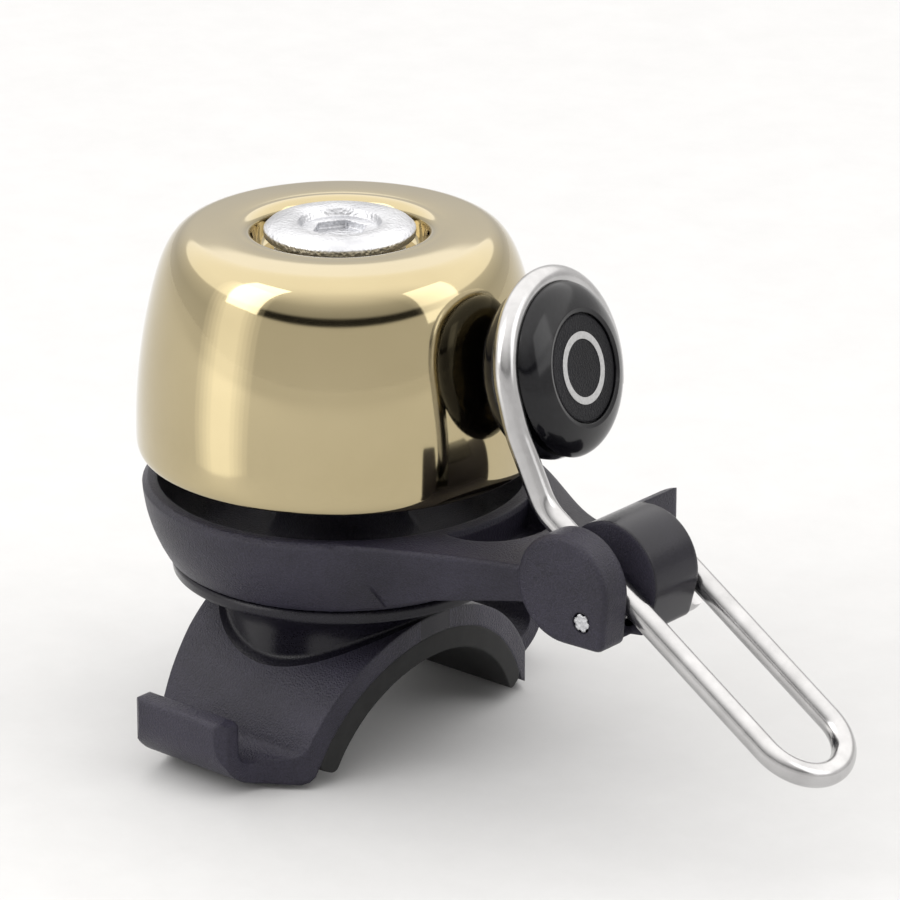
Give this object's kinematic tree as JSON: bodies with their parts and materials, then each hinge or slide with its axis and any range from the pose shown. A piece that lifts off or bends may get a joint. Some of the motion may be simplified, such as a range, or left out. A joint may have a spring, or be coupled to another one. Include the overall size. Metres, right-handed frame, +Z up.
{
  "type": "bicycle bell",
  "caption": "Handlebar bicycle bell: a brass gong on a swivelling base with a sprung wire thumb lever and a round hammer.",
  "frame": {"origin": "on the handlebar's axis, straight under the middle of the gong", "axes": "+X along the handlebar towards the thumb loop, +Y across the handlebar to the far side, +Z up the gong's axis"},
  "size_m": [0.0691, 0.0412, 0.0434],
  "materials": {
    "brass": "polished",
    "screw_steel": "zinc plated, rough forged",
    "washer_steel": "zinc plated",
    "bush_nylon": "natural nylon",
    "housing": "fine spark texture",
    "pad_rubber": "matte",
    "pin_steel": "bright drawn",
    "wire_steel": "nickel plated wire",
    "hammer_plastic": "glossy",
    "disc_plastic": "satin"
  },
  "bodies": {
    "mount_body": {"saddle": "housing", "handlebar_pad": "pad_rubber", "saddle_nut": "screw_steel", "nut_washer": "washer_steel", "gong_screw": "screw_steel", "lock_washer": "washer_steel"},
    "bell_head": {"base_body": "housing", "gong_grommet": "bush_nylon", "gong": "brass", "head_washer": "washer_steel", "rest_bumper": "pad_rubber", "pivot_pin": "pin_steel"},
    "lever": {"lever_wire": "wire_steel", "return_spring": "pin_steel", "hammer_front": "hammer_plastic", "hammer_back": "hammer_plastic", "hammer_disc": "disc_plastic"}
  },
  "joints": [
    {"name": "head_swivel", "type": "hinge", "parent": "mount_body", "child": "bell_head", "pos_m": [0, 0, 0.0285], "axis": [0, 0, 1], "range_deg": [-90, 90]},
    {"name": "lever_hinge", "type": "hinge", "parent": "bell_head", "child": "lever", "pos_m": [0.03225, 0, 0.02353], "axis": [0, 1, 0], "range_deg": [-1.3, 18], "stiffness_Nm_per_rad": 0.03}
  ]
}
